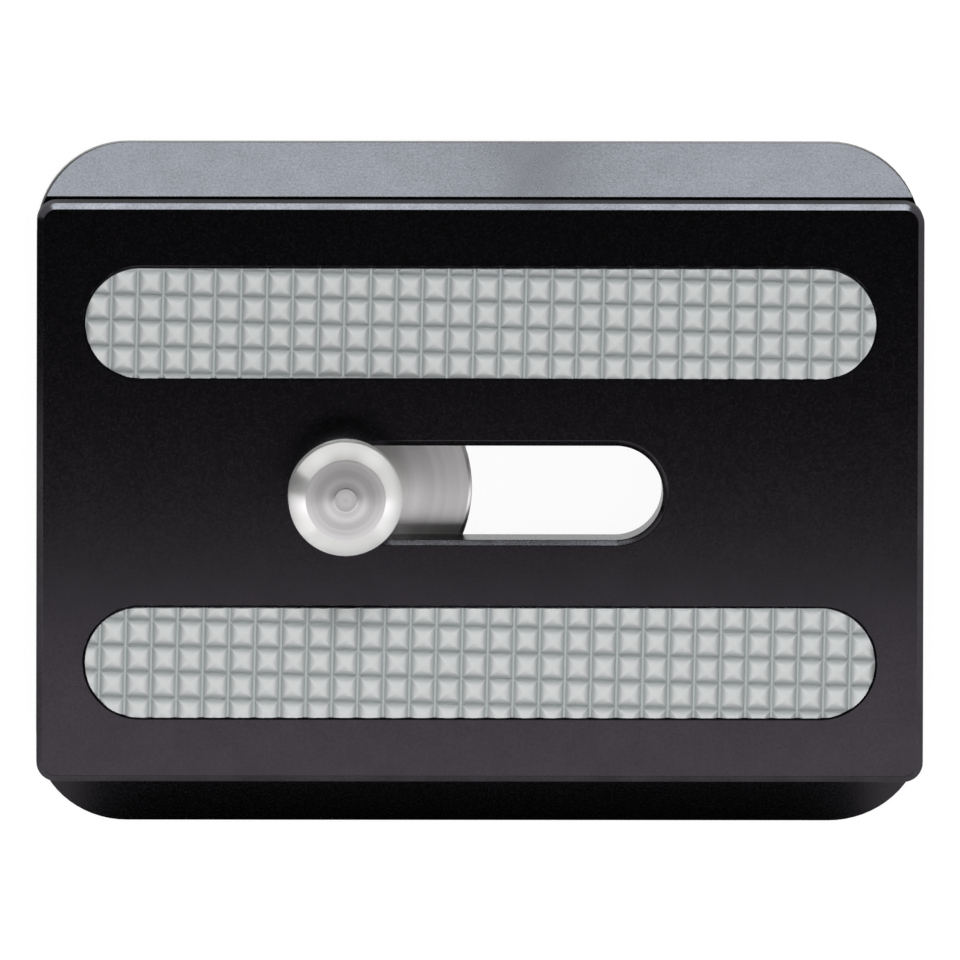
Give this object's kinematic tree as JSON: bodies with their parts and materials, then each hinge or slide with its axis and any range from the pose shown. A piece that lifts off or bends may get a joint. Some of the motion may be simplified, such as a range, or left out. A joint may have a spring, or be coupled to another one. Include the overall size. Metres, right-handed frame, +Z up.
{
  "type": "tripod quick release plate",
  "caption": "Dovetail camera plate in black anodised aluminium with pyramid-grip rubber strips and a captive camera screw that slides along a central slot.",
  "frame": {"origin": "centre of the plate on the plane of its base", "axes": "+X along the dovetail and the screw slot, +Y across the plate, +Z up towards the camera"},
  "size_m": [0.0494, 0.038, 0.0154],
  "materials": {
    "anodised_aluminium": "black anodised, fine satin grain",
    "grip_rubber": "matt moulded",
    "washer_steel": "turned, bright",
    "screw_steel": "turned, bright"
  },
  "bodies": {
    "plate": {"plate_body": "anodised_aluminium", "rear_grip_strip": "grip_rubber", "front_grip_strip": "grip_rubber"},
    "washer": {"screw_washer": "washer_steel"},
    "screw": {"camera_screw": "screw_steel"}
  },
  "joints": [
    {"name": "screw_slide", "type": "slide", "parent": "plate", "child": "washer", "axis": [1, 0, 0], "range_m": [0, 0.0151]},
    {"name": "screw_spin", "type": "hinge", "parent": "washer", "child": "screw", "pos_m": [-0.00755, 0, 0.0047], "axis": [0, 0, 1], "continuous": true}
  ]
}
